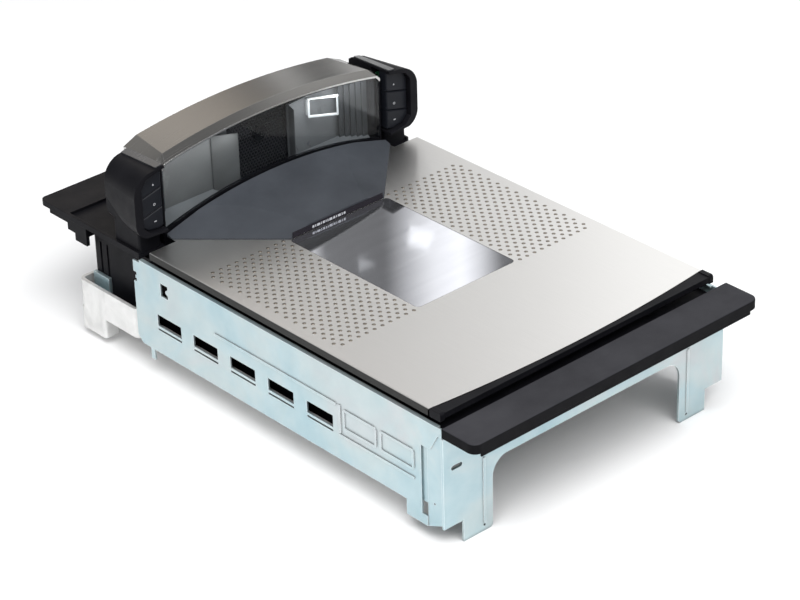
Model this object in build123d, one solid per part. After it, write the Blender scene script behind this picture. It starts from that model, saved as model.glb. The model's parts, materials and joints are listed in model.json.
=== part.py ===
from build123d import *
import os

# In-counter scanner-scale: a bi-optic barcode scanner whose stainless platter is also a scale.
# Frame: +X to the cashier's right, +Y from the cashier's ledge towards the tower, +Z up.
# Origin: middle of the footprint, at the height of the foot bottoms. Millimetres.

# ---------------------------------------------------------------- driving dimensions
FRAME_WIDTH = 292.0
TOTAL_LENGTH = 513.0
PLATTER_TOP = 110.0
FRONT = -TOTAL_LENGTH / 2
BACK = TOTAL_LENGTH / 2

# frame and its sheet-metal parts
HALF_FRAME = FRAME_WIDTH / 2
HALF_LEDGE = HALF_FRAME + 1.0
LEDGE_TOP = PLATTER_TOP - 5.0
LEDGE_THICKNESS = 12.0
LEDGE_RIM = 8.0
LEDGE_LIP_SETBACK = 1.2
LEDGE_DEPTH = 33.5
PANEL_OUTER = HALF_FRAME - 3.0
PANEL_SHEET = 1.5
PANEL_FRONT = -219.0
PANEL_BACK = 134.0
PANEL_BOTTOM = 24.2
PANEL_TOP = 100.0
BRACKET_SHEET = 2.0
BRACKET_FRONT = -223.0
LEG_INNER = 98.0
LEG_OUTER = 127.0
ARCH_TOP = 57.0
BRACKET_BOTTOM = 18.6
SLOT_HALF_SPACING = 132.8
SLOT_LENGTH = 10.8
SLOT_RADIUS = 1.8
SLOT_HEIGHT = 67.4

# cast base and optics housing
CAST_WALL = 3.0
CAST_FLOOR = 24.5
CAST_FLOOR_TOP = 28.0
CAST_RIM = 51.0
REAR_FOOT_BOTTOM = 6.4
REAR_FOOT_WIDTH = 14.5
CAST_FRONT = -170.0
CAST_BACK = 210.5
HOUSING_HALF = 131.0
HOUSING_FRONT = -164.0
HOUSING_BACK = 203.5
HOUSING_WALL = 2.5
DECK_BOTTOM = 92.0
DECK_TOP = 95.0

# platter, its window and the scale under it
HALF_PLATTER = 141.0
PLATTER_SHEET = 1.2
PLATTER_FRONT = -203.4
PLATTER_FRONT_MIDDLE = -211.2
PLATTER_BACK = 114.2
PLATTER_TONGUE_BACK = 125.0
WINDOW_HALF = 50.7
WINDOW_FRONT = -94.6
WINDOW_BACK = 52.9
SPIDER_BOTTOM = 98.5
SPIDER_TOP = 104.5
SCALE_TRAVEL = 0.5

# tower
HALF_TOWER = 114.7
HALF_GLASS = 112.2
GLASS_FRONT = 128.9
GLASS_SHEET = 3.0
GLASS_LOW_END = 113.7
GLASS_LOW_MIDDLE = 130.3
GLASS_HIGH_END = 169.8
GLASS_HIGH_MIDDLE = 180.8
HOOD_SHEET = 1.5
HOOD_GAP = 0.15
HOOD_SKIRT = 167.0
HOOD_BASE = 165.9
HOOD_BACK = 177.0
# sections of the hood: y, half width of the arched top, height of its ends, height of its middle,
# half width and height of the eaves
HOOD_LIP = (127.5, 110.0, 171.6, 182.6, 113.2, 168.4)
HOOD_CREASE = (135.5, 105.9, 176.0, 186.4, 114.2, 171.4)
HOOD_REAR = (HOOD_BACK, 99.1, 175.2, 182.9, 112.4, 169.5)
TOWER_BACK = 175.3
TOWER_WALL = 2.5

# end caps and buttons
CAP_INNER = 116.5
CAP_OUTER = 147.0
CAP_BOTTOM = 117.5
# sections of the cap: y, half width, height of its inner top edge
CAP_FRONT, CAP_REAR, CAP_BACK = 120.0, 166.0, 170.0
CAP_SECTIONS = [(CAP_FRONT, CAP_OUTER, 175.2), (CAP_REAR, 141.0, 173.6), (CAP_BACK, 137.5, 171.0)]
BUTTON_FACE = 124.5
BUTTON_GAP = 0.4

# rear tray
HALF_TRAY = 142.0
TRAY_FRONT = 127.0
TRAY_FLOOR = 102.6
TRAY_TOP = 105.0
TRAY_FOLD = 219.0

# ---------------------------------------------------------------- small helpers


def block(x0, x1, y0, y1, z0, z1):
    """A box given by its six faces."""
    return Pos((x0 + x1) / 2, (y0 + y1) / 2, (z0 + z1) / 2) * Box(x1 - x0, y1 - y0, z1 - z0)


def rounded_block(x0, x1, y0, y1, z0, z1, radius):
    """A box with its four upright edges rounded."""
    return fillet(block(x0, x1, y0, y1, z0, z1).edges().filter_by(Axis.Z), radius)


def plan_prism(points, z0, z1):
    """A plan outline (x, y) raised from z0 to z1."""
    return Pos(0, 0, z0) * extrude(Polygon(*points, align=None), z1 - z0, dir=(0, 0, 1))


def front_prism(face, y0, y1):
    """A face drawn in (x, z) and given thickness from y0 back to y1."""
    return Pos(0, y1, 0) * Rot(90, 0, 0) * extrude(face, y1 - y0, dir=(0, 0, 1))


def side_prism(points, x0, x1):
    """An outline (y, z) given thickness from x0 to x1."""
    face = Plane.YZ * Polygon(*points, align=None)
    return Pos(x0, 0, 0) * extrude(face, x1 - x0, dir=(1, 0, 0))


def upright(x, y, z0, z1, radius):
    """A round post along Z."""
    return Pos(x, y, (z0 + z1) / 2) * Cylinder(radius, z1 - z0)


def across(x0, x1, y, z, radius):
    """A round bar along X."""
    return Pos((x0 + x1) / 2, y, z) * Rot(0, 90, 0) * Cylinder(radius, x1 - x0)


def along(x, y0, y1, z, radius):
    """A round bar along Y."""
    return Pos(x, (y0 + y1) / 2, z) * Rot(90, 0, 0) * Cylinder(radius, y1 - y0)


def mirrored(shape):
    """The same piece for the other side, across the middle plane."""
    return shape.mirror(Plane.YZ)


def arch_face(half, low_end, low_middle, high_end, high_middle):
    """A face in (x, z) between two arches of one half width; equal heights give a straight edge."""
    left_low, right_low = (-half, low_end), (half, low_end)
    left_high, right_high = (-half, high_end), (half, high_end)
    if low_end == low_middle:
        bottom = Line(left_low, right_low)
    else:
        bottom = ThreePointArc(left_low, (0, low_middle), right_low)
    if high_end == high_middle:
        top = Line(right_high, left_high)
    else:
        top = ThreePointArc(right_high, (0, high_middle), left_high)
    return make_face([bottom, Line(right_low, right_high), top, Line(left_high, left_low)])


def group(shapes):
    """Separate solids that share one node."""
    return Compound(children=list(shapes))


# ---------------------------------------------------------------- frame


def side_panel():
    """Right-hand plated side panel: vents, key slot, beads, embossed fields, front foot."""
    inner = PANEL_OUTER - PANEL_SHEET
    outline = [
        (PANEL_FRONT, PANEL_TOP), (PANEL_FRONT, 18.2), (-203.0, 11.0), (-180.0, 11.0),
        (-180.0, PANEL_BOTTOM), (114.0, PANEL_BOTTOM), (114.0, 14.7), (118.5, 14.7),
        (118.5, PANEL_BOTTOM), (128.0, PANEL_BOTTOM), (PANEL_BACK, 30.0), (PANEL_BACK, 79.0),
        (130.5, 79.0), (130.5, 82.0), (132.0, 82.0), (132.0, 84.5), (130.5, 84.5),
        (130.5, 87.5), (PANEL_BACK, 87.5), (PANEL_BACK, PANEL_TOP - 2.4), (TRAY_FRONT - 1, PANEL_TOP - 2.4),
        (TRAY_FRONT - 1, PANEL_TOP),
    ]
    panel = side_prism(outline, inner, PANEL_OUTER)
    panel += block(139.6, inner, -214.0, TRAY_FRONT - 1, PANEL_TOP - PANEL_SHEET, PANEL_TOP)
    panel += block(139.4, inner, -150.0, 108.0, PANEL_BOTTOM, PANEL_BOTTOM + PANEL_SHEET)

    # five vents in a row, each with a formed blade near its lower edge
    vent_width, vent_pitch, vent_back = 29.4, 44.6, 106.9
    vent_bottom, vent_top, blade_height = 45.2, 59.2, 2.2
    for index in range(5):
        back = vent_back - index * vent_pitch
        panel -= block(inner - 1, PANEL_OUTER + 1, back - vent_width, back, vent_bottom, vent_top)
        panel += block(inner, PANEL_OUTER, back - vent_width - 0.8, back + 0.8,
                       vent_bottom + 1.6, vent_bottom + 1.6 + blade_height)

    # key-shaped slot near the back, upright slot near the front, small hole beside it
    key_slot = [(100.4, 78.0), (100.4, 89.4), (91.6, 89.4), (91.6, 86.4), (94.2, 85.0), (94.2, 82.4),
                (91.6, 81.0), (91.6, 78.0)]
    panel -= side_prism(key_slot, inner - 1, PANEL_OUTER + 1)
    panel -= block(inner - 1, PANEL_OUTER + 1, -202.4, -196.5, 19.6, 77.9)
    panel -= across(inner - 1, PANEL_OUTER + 1, -209.5, 33.0, 0.9)

    # the strip ahead of the upright slot lies one layer deeper
    recess = [(-202.4, 78.0), (-206.5, 78.4), (-214.5, 92.7), (PANEL_FRONT - 1, 92.7),
              (PANEL_FRONT - 1, 10.0), (-202.4, 10.0)]
    panel -= side_prism(recess, PANEL_OUTER - 0.7, PANEL_OUTER + 1)

    # raised beads and fields
    raised = PANEL_OUTER + 0.8
    panel += block(PANEL_OUTER, raised, -105.4, 34.8, 70.4, 72.6)
    panel += block(PANEL_OUTER, raised, -110.4, -108.2, 48.0, 72.6)
    panel += block(PANEL_OUTER, raised, -189.6, -108.2, 45.4, 47.4)
    for start in (-149.5, -189.6):
        field = fillet(block(PANEL_OUTER, raised, start, start + 36.6, 52.9, 70.6)
                       .edges().filter_by(Axis.X), 3.0)
        panel += field - block(PANEL_OUTER, raised + 1, start + 2, start + 34.6, 54.9, 68.6)
    return panel


def front_bracket():
    """Plated front frame: two legs either side of a wide arch, slots, inner side flanges."""
    half = Polygon(
        (0, ARCH_TOP), (LEG_INNER, ARCH_TOP), (LEG_INNER, 2.0), (LEG_INNER + 2, 0),
        (LEG_OUTER, 0), (LEG_OUTER, BRACKET_BOTTOM), (HALF_FRAME, BRACKET_BOTTOM),
        (HALF_FRAME, DECK_TOP), (0, DECK_TOP), align=None)
    corner = half.vertices().sort_by_distance((LEG_INNER, ARCH_TOP))[0]
    half = fillet(corner, 15.0)
    sheet = front_prism(half, BRACKET_FRONT, BRACKET_FRONT + BRACKET_SHEET)
    # slot for a fastener, stiffening crease down the leg, relief holes at its ends
    back = BRACKET_FRONT + BRACKET_SHEET
    slot = (block(SLOT_HALF_SPACING - SLOT_LENGTH / 2 + SLOT_RADIUS,
                  SLOT_HALF_SPACING + SLOT_LENGTH / 2 - SLOT_RADIUS,
                  BRACKET_FRONT - 1, back + 1, SLOT_HEIGHT - SLOT_RADIUS, SLOT_HEIGHT + SLOT_RADIUS))
    for end in (-1, 1):
        slot += along(SLOT_HALF_SPACING + end * (SLOT_LENGTH / 2 - SLOT_RADIUS),
                      BRACKET_FRONT - 1, back + 1, SLOT_HEIGHT, SLOT_RADIUS)
    sheet -= slot
    for height in (5.0, 65.5):
        sheet -= along(106.6, BRACKET_FRONT - 1, back + 1, height, 1.1)
    sheet += block(105.5, 107.7, BRACKET_FRONT - 0.7, BRACKET_FRONT, 7.5, 63.0)
    # flange that lies against the side panel's inner face, and one along the leg's inner edge
    inner = PANEL_OUTER - PANEL_SHEET
    sheet += block(inner - BRACKET_SHEET, inner, back - 0.5, -196.0, 30.0, 90.0)
    sheet += block(0, HALF_FRAME - 12, back - 0.5, back + 10, 89.8, 91.8)
    return sheet + mirrored(sheet)


def ledge_cover():
    """Charcoal ledge in front of the platter: a hollow moulding, its front lip set back below the rim."""
    back = FRONT + LEDGE_DEPTH
    outer = block(-HALF_LEDGE, HALF_LEDGE, FRONT, back, LEDGE_TOP - LEDGE_THICKNESS, LEDGE_TOP)
    front_corners = outer.edges().filter_by(Axis.Z).group_by(Axis.Y)[0]
    outer = fillet(front_corners, 7.0)
    outer = fillet(outer.faces().sort_by(Axis.Z)[-1].edges(), 1.2)
    hollow = block(-HALF_LEDGE + 2.5, HALF_LEDGE - 2.5, FRONT + 2.5, back - 2.5,
                   LEDGE_TOP - LEDGE_THICKNESS - 1, LEDGE_TOP - 2.5)
    hollow = fillet(hollow.edges().filter_by(Axis.Z).group_by(Axis.Y)[0], 4.5)
    cover = outer - hollow
    for x in (-90, -30, 30, 90):
        cover += block(x - 1, x + 1, FRONT + 2, back - 2, LEDGE_TOP - 9, LEDGE_TOP - 2)
    below, rim = LEDGE_TOP - LEDGE_THICKNESS - 1, LEDGE_TOP - LEDGE_RIM
    cover -= block(-HALF_LEDGE, HALF_LEDGE, FRONT - 1, FRONT + LEDGE_LIP_SETBACK, below, rim)
    end = block(HALF_LEDGE - 8, HALF_LEDGE + 1, FRONT - 1, back + 1, below, rim)
    return cover - end - mirrored(end)


def front_gap_seal():
    """Black strip that closes the gap between the ledge and the platter's front edge."""
    return block(-HALF_PLATTER, HALF_PLATTER, BRACKET_FRONT + 0.1, -216.2, DECK_TOP, DECK_TOP + 2.5)


def chassis_casting():
    """Cast aluminium base tray with a raised rim and two rear feet."""
    inside = PANEL_OUTER - PANEL_SHEET - 2.2
    front = rounded_block(-inside, inside, CAST_FRONT, PANEL_BACK + 6, CAST_FLOOR, 45.0, 4.0)
    rear = rounded_block(-PANEL_OUTER, PANEL_OUTER, PANEL_BACK + 0.4, CAST_BACK, CAST_FLOOR, CAST_RIM, 6.0)
    cast = front + rear
    cast -= block(-inside + CAST_WALL, inside - CAST_WALL, CAST_FRONT + CAST_WALL, CAST_BACK - CAST_WALL,
                  CAST_FLOOR_TOP, CAST_RIM + 1)
    cast -= rounded_block(-PANEL_OUTER + CAST_WALL, PANEL_OUTER - CAST_WALL, PANEL_BACK + 3.4,
                          CAST_BACK - CAST_WALL, CAST_FLOOR_TOP, CAST_RIM + 1, 3.0)
    for side in (-1, 1):
        x0, x1 = sorted((side * (PANEL_OUTER - REAR_FOOT_WIDTH), side * PANEL_OUTER))
        cast += rounded_block(x0, x1, 179.0, CAST_BACK - 1.0, REAR_FOOT_BOTTOM, CAST_FLOOR + 1, 2.5)
    # ribs under the floor
    for x in (-60, 0, 60):
        cast += block(x - 1.5, x + 1.5, CAST_FRONT + 12, CAST_BACK - 14, CAST_FLOOR - 4, CAST_FLOOR + 0.5)
    return cast


def lower_housing():
    """Black optics tub that stands in the casting; two upright slots on each rear side."""
    outer = rounded_block(-HOUSING_HALF, HOUSING_HALF, HOUSING_FRONT, HOUSING_BACK,
                          CAST_FLOOR_TOP, DECK_BOTTOM, 5.0)
    wall = HOUSING_WALL
    tub = outer - rounded_block(-HOUSING_HALF + wall, HOUSING_HALF - wall, HOUSING_FRONT + wall,
                                HOUSING_BACK - wall, CAST_FLOOR_TOP + wall, DECK_BOTTOM + 1, 3.0)
    for y in (182.6, 191.2):
        tub -= block(-HOUSING_HALF - 1, -HOUSING_HALF + 1.4, y, y + 2.6, 52.0, 86.0)
        tub -= block(HOUSING_HALF - 1.4, HOUSING_HALF + 1, y, y + 2.6, 52.0, 86.0)
    # way out for the connector plate
    tub -= block(-78, 78, HOUSING_BACK - wall - 1, HOUSING_BACK + 1, 40.0, 76.0)
    return tub


def optics_deck():
    """Black deck over the tub, with the scan opening and the scale post's hole."""
    deck = rounded_block(-138.5, 138.5, -214.0, 125.0, DECK_BOTTOM, DECK_TOP, 4.0)
    deck += block(-HOUSING_HALF, HOUSING_HALF, 120.0, HOUSING_BACK, DECK_BOTTOM, DECK_TOP)
    deck -= rounded_block(-WINDOW_HALF, WINDOW_HALF, WINDOW_FRONT, WINDOW_BACK,
                          DECK_BOTTOM - 1, DECK_TOP + 1, 4.0)
    deck -= upright(45.0, -140.0, DECK_BOTTOM - 1, DECK_TOP + 1, 10.0)
    return deck


def rear_tray():
    """Black tray behind the platter: recessed floor, raised back part, side rims, ribs below."""
    underside = TRAY_FLOOR - 2.6
    tray = block(-HALF_TRAY, HALF_TRAY, TRAY_FRONT, BACK, underside, TRAY_TOP)
    tray = fillet(tray.edges().filter_by(Axis.Z).group_by(Axis.Y)[-1], 5.0)
    recess = [(-HALF_TRAY + 2.2, TRAY_FRONT - 1), (HALF_TRAY - 2.2, TRAY_FRONT - 1),
              (HALF_TRAY - 2.2, TRAY_FOLD), (-HALF_TRAY + 2.2, TRAY_FOLD)]
    tray -= plan_prism(recess, TRAY_FLOOR, TRAY_TOP + 1)
    # opening for the tower
    tray -= block(-HALF_TOWER - 1.1, HALF_TOWER + 1.1, TRAY_FRONT - 1, TOWER_BACK + 0.4,
                  underside - 1, TRAY_TOP + 1)
    # stepped ribs under the overhang, and a skirt round the tub's top
    for side in (-1, 1):
        for y0, y1, z0 in ((HOUSING_BACK + 0.3, 219.0, 79.0), (219.0, 228.5, 85.5), (228.5, 252.0, 91.5)):
            x0, x1 = sorted((side * 133.5, side * 136.5))
            tray += block(x0, x1, y0, y1, z0, underside + 0.5)
    for y, z0 in ((208.0, 84.0), (221.0, 88.0), (236.0, 93.5)):
        tray += block(-136.0, 136.0, y, y + 2.0, z0, underside + 0.5)
    return tray


# ---------------------------------------------------------------- inside the tub


def connector_panel():
    """Plated plate with the sockets' cut-outs, set in the tub's back wall."""
    plate = block(-77.5, 77.5, HOUSING_BACK - 2.3, HOUSING_BACK - 0.3, 40.5, 75.5)
    for x in (-58, -30, -2, 26, 54):
        plate -= block(x - 8, x + 8, HOUSING_BACK - 4, HOUSING_BACK + 1, 48.0, 62.0)
    return plate


def port_sockets():
    """Row of modular sockets behind the connector plate."""
    sockets = []
    for x in (-58, -30, -2, 26, 54):
        body = block(x - 7.8, x + 7.8, HOUSING_BACK - 16, HOUSING_BACK - 0.6, 48.2, 61.8)
        mouth = block(x - 6, x + 6, HOUSING_BACK - 12, HOUSING_BACK, 50.5, 59.0)
        sockets.append(body - mouth)
    return group(sockets)


def ground_bracket():
    """Bright plated strap on the tub's left rear wall, down in the casting's channel."""
    face = -HOUSING_HALF
    strap = block(face - 3.0, face, 181.5, 201.5, 40.0, 57.0)
    return strap + block(face - 7.0, face, 181.5, 201.5, 40.0, 42.0)


def tilted_mirror(length, height, angle, x, y, z, turn=0.0):
    """A plane mirror plate, tilted about its long axis and turned about Z."""
    return Pos(x, y, z) * Rot(0, 0, turn) * Rot(angle, 0, 0) * Box(length, height, 2.5)


def main_board():
    """Processor board on the tub's floor, on four standoffs."""
    floor = CAST_FLOOR_TOP + HOUSING_WALL
    board = block(-105, 105, 95, 176, floor + 5, floor + 6.6)
    for x in (-98, 98):
        for y in (102, 169):
            board += upright(x, y, floor, floor + 5.5, 3.5)
    for x, y, width in ((-70, 120, 22), (20, 150, 18), (60, 118, 26)):
        board += block(x, x + width, y, y + width, floor + 6, floor + 9.0)
    return board


def shield_can():
    """Pressed screening cover over the board's decoder."""
    floor = CAST_FLOOR_TOP + HOUSING_WALL + 6.6
    can = block(-40, 10, 108, 146, floor, floor + 9)
    return can - block(-39.2, 9.2, 108.8, 145.2, floor - 1, floor + 8.2)


def speaker():
    """Round beeper speaker on the tub's floor."""
    floor = CAST_FLOOR_TOP + HOUSING_WALL
    body = upright(-100, 60, floor, floor + 8, 20) + upright(-100, 60, floor + 8, floor + 15, 13)
    return body - upright(-100, 60, floor + 12, floor + 16, 10)


def lower_imager():
    """Camera module that looks up through the scan opening by way of the mirrors."""
    floor = CAST_FLOOR_TOP + HOUSING_WALL
    body = block(-18, 18, -20, 10, floor, floor + 14)
    return body + upright(0, -5, floor + 13, floor + 24, 8)


# ---------------------------------------------------------------- scale


def load_cell_block():
    """Aluminium block that carries the fixed end of the load cell."""
    return rounded_block(-66, -36, -156, -126, CAST_FLOOR_TOP + HOUSING_WALL, 60.0, 2.0)


def load_cell():
    """Bending beam with its double bore; the free end is under the spider's post."""
    beam = fillet(block(-66, 62, -156, -126, 60.0, 82.0).edges().filter_by(Axis.X), 1.0)
    for x in (-8, 8):
        beam -= along(x, -160, -120, 71.0, 8.5)
    return beam - block(-8, 8, -160, -120, 69.0, 73.0)


def weigh_spider():
    """Cast spider that carries the platter on four arms and stands on the load cell."""
    frame = rounded_block(-118, 118, -168, 86, SPIDER_BOTTOM, SPIDER_TOP, 8.0)
    frame -= rounded_block(-62, 62, -108, 62, SPIDER_BOTTOM - 1, SPIDER_TOP + 1, 6.0)
    for x in (-90, 90):
        frame -= rounded_block(x - 16, x + 16, -120, 45, SPIDER_BOTTOM - 1, SPIDER_TOP + 1, 6.0)
    frame += upright(45.0, -140.0, 82.0 + SCALE_TRAVEL + 0.2, SPIDER_BOTTOM + 1, 7.0)
    return frame


def platter_pads():
    """Rubber pads between the spider and the platter."""
    places = [(x, y) for x in (-110, 110) for y in (-155, 74)]
    return group(upright(x, y, SPIDER_TOP, PLATTER_TOP - PLATTER_SHEET, 7.5) for x, y in places)


def overload_stops():
    """Four stop screws on the deck that catch the spider when the scale is overloaded."""
    places = [(x, y) for x in (-110, 110) for y in (-150, 60)]
    return group(upright(x, y, DECK_TOP, SPIDER_BOTTOM - SCALE_TRAVEL - 0.15, 4.0) for x, y in places)


# ---------------------------------------------------------------- platter


def platter_outline():
    """Plan outline of the platter: bowed front edge, and a tongue that runs back under the riser."""
    half, tongue = HALF_PLATTER, HALF_TOWER
    front = ThreePointArc((-half, PLATTER_FRONT), (0, PLATTER_FRONT_MIDDLE), (half, PLATTER_FRONT))
    rest = Polyline((half, PLATTER_FRONT), (half, PLATTER_BACK), (tongue, PLATTER_BACK),
                    (tongue, PLATTER_TONGUE_BACK), (-tongue, PLATTER_TONGUE_BACK),
                    (-tongue, PLATTER_BACK), (-half, PLATTER_BACK), (-half, PLATTER_FRONT))
    return make_face([front, *rest.edges()])


def platter_plate():
    """Stainless platter sheet with turned-down side lips and the scan window's opening."""
    underside = PLATTER_TOP - PLATTER_SHEET
    plate = Pos(0, 0, underside) * extrude(platter_outline(), PLATTER_SHEET, dir=(0, 0, 1))
    plate -= rounded_block(-WINDOW_HALF, WINDOW_HALF, WINDOW_FRONT, WINDOW_BACK,
                           underside - 1, PLATTER_TOP + 1, 4.0)
    for side in (-1, 1):
        x0, x1 = sorted((side * (HALF_PLATTER - PLATTER_SHEET), side * HALF_PLATTER))
        plate += block(x0, x1, PLATTER_FRONT + 0.6, PLATTER_BACK, 104.0, PLATTER_TOP)
    outer_edges = [edge for edge in plate.edges().filter_by(Axis.Y)
                   if abs(abs(edge.center().X) - HALF_PLATTER) < 0.01 and edge.center().Z > PLATTER_TOP - 0.1]
    return fillet(outer_edges, 1.0)


def window_frame():
    """Black frame under the platter that holds the scan window's glass."""
    low, high = 105.0, PLATTER_TOP - PLATTER_SHEET
    ring = rounded_block(-WINDOW_HALF - 6, WINDOW_HALF + 6, WINDOW_FRONT - 6, WINDOW_BACK + 6, low, high, 6.0)
    ring -= rounded_block(-WINDOW_HALF, WINDOW_HALF, WINDOW_FRONT, WINDOW_BACK, 106.8, high + 1, 4.0)
    return ring - rounded_block(-WINDOW_HALF + 5, WINDOW_HALF - 5, WINDOW_FRONT + 5, WINDOW_BACK - 5,
                                low - 1, high + 1, 3.0)


def window_glass():
    """Hard-coated scan window, flush with the platter."""
    gap = 0.3
    return rounded_block(-WINDOW_HALF + gap, WINDOW_HALF - gap, WINDOW_FRONT + gap, WINDOW_BACK - gap,
                         106.8, PLATTER_TOP - 0.1, 3.7)


RISER_FOOT_HALF = 49.0
RISER_FRONT = 53.6
RISER_CORNER = 119.0
RISER_EDGE_HEIGHT = PLATTER_TOP + 1.0
RISER_EDGE_SLOPE = 0.4


def riser_wedge(drop):
    """Ruled wedge from a straight front edge up to the tower glass's lower arch."""
    front_height, end_height, middle_height = 115.6 - drop, GLASS_LOW_END - drop, GLASS_LOW_MIDDLE - drop
    front_y, back_y = 50.0, 126.0
    floor = PLATTER_TOP - 2
    front_face = arch_face(HALF_TOWER + 1, floor, floor, front_height, front_height + 0.4)
    back_face = arch_face(HALF_TOWER + 1, floor, floor, end_height, middle_height)
    stand = Rot(90, 0, 0)
    wedge = loft([Pos(0, back_y, 0) * stand * back_face, Pos(0, front_y, 0) * stand * front_face], ruled=True)
    # along each diagonal edge of the plan the top comes down to the platter
    for side in (-1, 1):
        along_edge = Vector(side * (HALF_TOWER - RISER_FOOT_HALF), RISER_CORNER - RISER_FRONT, 0).normalized()
        inward = Vector(-side * along_edge.Y, side * along_edge.X, 0)
        rising = (inward + Vector(0, 0, RISER_EDGE_SLOPE)).normalized()
        edge_plane = Plane(origin=(side * RISER_FOOT_HALF, RISER_FRONT, RISER_EDGE_HEIGHT - drop),
                           x_dir=along_edge, z_dir=along_edge.cross(rising) * side)
        wedge -= edge_plane * Box(400, 400, 100, align=(Align.CENTER, Align.CENTER, Align.MIN))
    return wedge


def riser_panel():
    """Slate riser on the platter's back: a shell whose top meets the tower glass's lower arch."""
    base = PLATTER_TOP + 0.05
    foot, front, corner = RISER_FOOT_HALF, RISER_FRONT, RISER_CORNER
    plan = [(-foot, front), (foot, front), (HALF_TOWER, corner),
            (HALF_TOWER, PLATTER_TONGUE_BACK), (-HALF_TOWER, PLATTER_TONGUE_BACK), (-HALF_TOWER, corner)]
    wall = 2.2
    inner_plan = [(-foot + 1, front + wall), (foot - 1, front + wall),
                  (HALF_TOWER - wall, corner + 0.6), (HALF_TOWER - wall, PLATTER_TONGUE_BACK - wall),
                  (-HALF_TOWER + wall, PLATTER_TONGUE_BACK - wall), (-HALF_TOWER + wall, corner + 0.6)]
    outer = plan_prism(plan, base, 140.0) & riser_wedge(0.0)
    inner = plan_prism(inner_plan, base - 1, 140.0) & riser_wedge(wall)
    return outer - inner


def riser_band():
    """Gloss black strip along the riser's foot."""
    return block(-RISER_FOOT_HALF + 2, RISER_FOOT_HALF - 2, RISER_FRONT - 0.6, RISER_FRONT,
                 PLATTER_TOP + 0.3, 115.2)


# ---------------------------------------------------------------- produce lift bar

BAR_AXIS_Y = -213.4
BAR_AXIS_Z = 106.2
BAR_HALF = 136.2
BAR_PIN_RADIUS = 1.0


def lift_bar():
    """Flip-up bar at the platter's front: a rod with a paddle at each end, hinged on two pins."""
    rod = across(-BAR_HALF, BAR_HALF, BAR_AXIS_Y, BAR_AXIS_Z, 2.2)
    gap = 0.7
    back_edge = ThreePointArc((-HALF_PLATTER, PLATTER_FRONT - gap), (0, PLATTER_FRONT_MIDDLE - gap),
                              (HALF_PLATTER, PLATTER_FRONT - gap))
    front_edge = Polyline((HALF_PLATTER, PLATTER_FRONT - gap), (HALF_PLATTER, BAR_AXIS_Y - 3),
                          (-HALF_PLATTER, BAR_AXIS_Y - 3), (-HALF_PLATTER, PLATTER_FRONT - gap))
    face = make_face([back_edge, *front_edge.edges()])
    paddle = Pos(0, 0, BAR_AXIS_Z - 1.2) * extrude(face, 4.9, dir=(0, 0, 1))
    paddle &= block(-BAR_HALF, BAR_HALF, BAR_AXIS_Y - 2.0, PLATTER_FRONT, BAR_AXIS_Z - 2, PLATTER_TOP)
    bar = rod + paddle
    for side in (-1, 1):
        x0, x1 = sorted((side * (BAR_HALF - 6), side * (BAR_HALF + 1)))
        bar -= across(x0, x1, BAR_AXIS_Y, BAR_AXIS_Z, BAR_PIN_RADIUS + 0.05)
    return bar


def lift_bar_end():
    """Right-hand end block under the platter's corner that holds the bar's pin."""
    inner, outer = BAR_HALF + 0.3, HALF_PLATTER
    end = block(inner, outer, -215.6, PLATTER_FRONT - 1.0, 104.0, PLATTER_TOP + 0.6)
    end = fillet(end.edges().filter_by(Axis.X).group_by(Axis.Z)[-1].group_by(Axis.Y)[0], 2.0)
    end += block(inner, HALF_PLATTER - PLATTER_SHEET - 0.2, PLATTER_FRONT - 1.1, -192.0,
                 104.2, PLATTER_TOP - PLATTER_SHEET)
    return end - across(inner - 1, outer - 1.2, BAR_AXIS_Y, BAR_AXIS_Z, BAR_PIN_RADIUS)


def lift_bar_pins():
    """Two steel hinge pins of the lift bar."""
    pins = []
    for side in (-1, 1):
        x0, x1 = sorted((side * (BAR_HALF - 5.5), side * (HALF_PLATTER - 1.2)))
        pins.append(across(x0, x1, BAR_AXIS_Y, BAR_AXIS_Z, BAR_PIN_RADIUS))
    return group(pins)


# ---------------------------------------------------------------- tower


def tower_glass():
    """Upright scan window, arched above and below."""
    face = arch_face(HALF_GLASS, GLASS_LOW_END, GLASS_LOW_MIDDLE, GLASS_HIGH_END, GLASS_HIGH_MIDDLE)
    return front_prism(face, GLASS_FRONT, GLASS_FRONT + GLASS_SHEET) & under_hood()


def tower_bezel():
    """Black surround of the upright window: a side strip each side, and the apron below it."""
    gap = 0.15
    outer = arch_face(HALF_TOWER - 0.9, DECK_TOP, DECK_TOP, HOOD_SKIRT - gap, HOOD_SKIRT - gap)
    opening = arch_face(HALF_GLASS + gap, GLASS_LOW_END - gap, GLASS_LOW_MIDDLE - gap, HOOD_SKIRT, HOOD_SKIRT)
    return front_prism(outer - opening, GLASS_FRONT, GLASS_FRONT + GLASS_SHEET)


def tower_housing():
    """Black tower shell behind the window: floor, sides and back, closed above by the hood."""
    wall = TOWER_WALL
    front = GLASS_FRONT + GLASS_SHEET
    half = HALF_TOWER - 0.9
    _, _, crease_end, crease_middle, _, _ = HOOD_CREASE
    _, _, rear_end, rear_middle, _, _ = HOOD_REAR
    outer = arch_face(half, DECK_TOP, DECK_TOP, crease_end, crease_middle)
    inner = arch_face(half - wall, DECK_TOP + wall, DECK_TOP + wall, rear_end - 8.0, rear_middle - 5.0)
    shell = front_prism(outer, front, TOWER_BACK - 0.3) & under_hood()
    shell -= front_prism(inner, front - 1, TOWER_BACK - wall)
    # ribs across the back, for stiffness
    for z in (112.0, 126.0, 140.0, 154.0):
        shell += block(-92, 92, TOWER_BACK - 0.5, TOWER_BACK + 1.0, z, z + 2.5)
    return shell


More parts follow.
